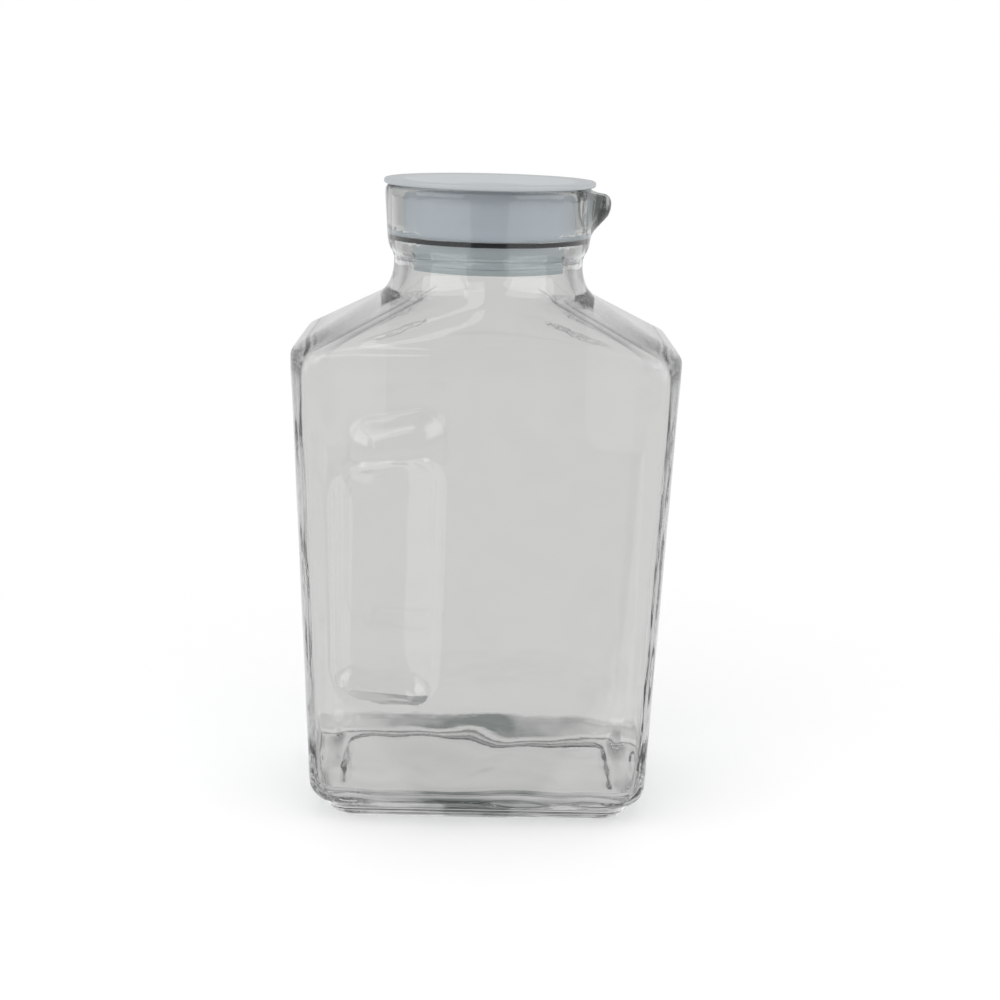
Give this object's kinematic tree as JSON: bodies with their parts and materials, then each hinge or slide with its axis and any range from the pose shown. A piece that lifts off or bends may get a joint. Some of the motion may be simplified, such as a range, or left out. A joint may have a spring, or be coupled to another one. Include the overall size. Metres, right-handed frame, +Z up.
{
  "type": "glass pitcher with lid",
  "caption": "Clear glass fridge-door pitcher with a rectangular body, finger grips in both faces, a round neck, a pouring spout and a push-in plastic lid.",
  "frame": {"origin": "middle of the underside, on the surface that the pitcher stands on", "axes": "+X towards the spout, +Y away from the viewer across the narrow depth, +Z up through the neck"},
  "size_m": [0.1414, 0.0884, 0.24],
  "materials": {
    "clear_glass": "polished, faintly grey-green, dark at thick edges",
    "milky_plastic": "translucent bluish white, satin"
  },
  "bodies": {
    "pitcher": {"pitcher": "clear_glass"},
    "lid": {"lid": "milky_plastic"}
  },
  "joints": [
    {"name": "lid_lift", "type": "slide", "parent": "pitcher", "child": "lid", "axis": [0, 0, 1], "range_m": [0, 0.06]}
  ]
}
